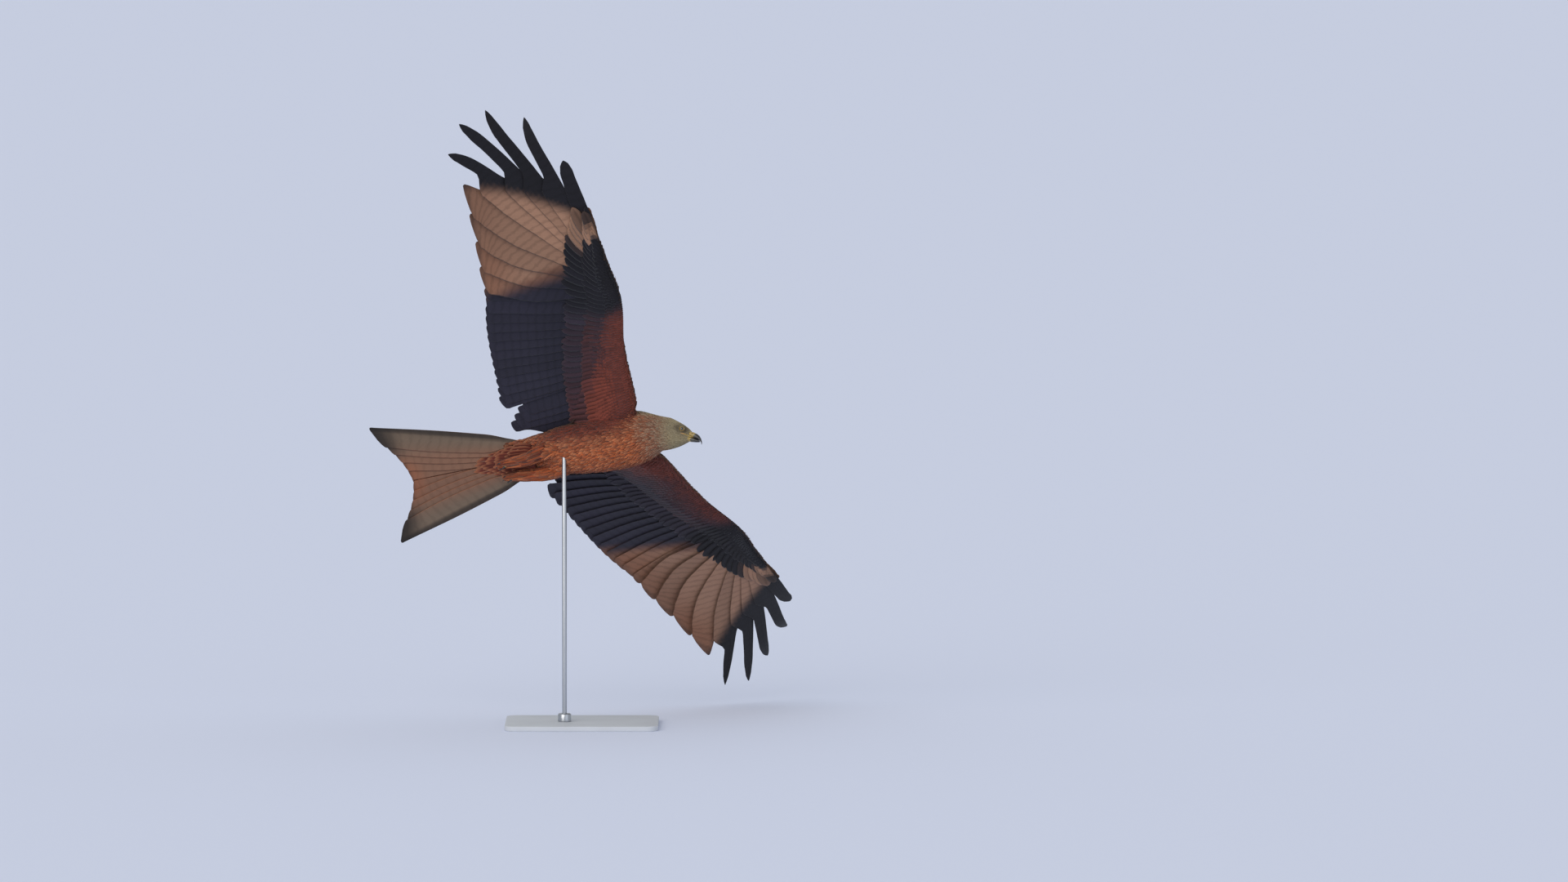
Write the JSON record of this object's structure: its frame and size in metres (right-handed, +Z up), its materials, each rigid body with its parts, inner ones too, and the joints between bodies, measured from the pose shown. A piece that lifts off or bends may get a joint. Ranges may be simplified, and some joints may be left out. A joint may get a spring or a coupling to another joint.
{
  "type": "red kite bird",
  "caption": "Life-size still model of a red kite banking in flight with spread fingered wings and a forked tail, held by an upright rod on a flat plate.",
  "frame": {"origin": "centre of the underside of the stand's plate", "axes": "+Z up along the rod, from the plate to the bird; +X across the view, towards the side that the bill points to; +Y away from the viewer"},
  "size_m": [0.835, 0.8668, 1.2245],
  "materials": {
    "plumage_rufous": "soft matt feathers, rufous with darker streaks",
    "plumage_head": "soft matt feathers, pale grey with fine dark streaks",
    "plumage_wing": "flight feathers, blackish brown with a pale buff patch on the inner primaries",
    "plumage_tail": "tail feathers, pale rufous buff with dusky corners",
    "cere": "waxy yellow at the base, dark horn at the tip",
    "horn": "polished dark horn",
    "foot_skin": "scaled yellow skin",
    "eye": "wet, pale amber iris with a black pupil",
    "stand_plate": "satin grey paint on steel plate",
    "stand_steel": "brushed"
  },
  "bodies": {
    "root": {"torso": "plumage_rufous", "neck": "plumage_head", "head": "plumage_head", "bill_upper": "cere", "bill_lower": "horn", "tail": "plumage_tail", "eye_left": "eye", "wing_left_upper_arm": "plumage_rufous", "wing_left_forearm": "plumage_wing", "wing_left_hand": "plumage_wing", "thigh_left": "plumage_rufous", "foot_left": "foot_skin", "claw_left_1": "horn", "claw_left_2": "horn", "claw_left_3": "horn", "claw_left_4": "horn", "eye_right": "eye", "wing_right_upper_arm": "plumage_rufous", "wing_right_forearm": "plumage_wing", "wing_right_hand": "plumage_wing", "thigh_right": "plumage_rufous", "foot_right": "foot_skin", "claw_right_1": "horn", "claw_right_2": "horn", "claw_right_3": "horn", "claw_right_4": "horn", "stand_base": "stand_plate", "stand_rod": "stand_steel", "stand_collar": "stand_steel"}
  },
  "joints": []
}
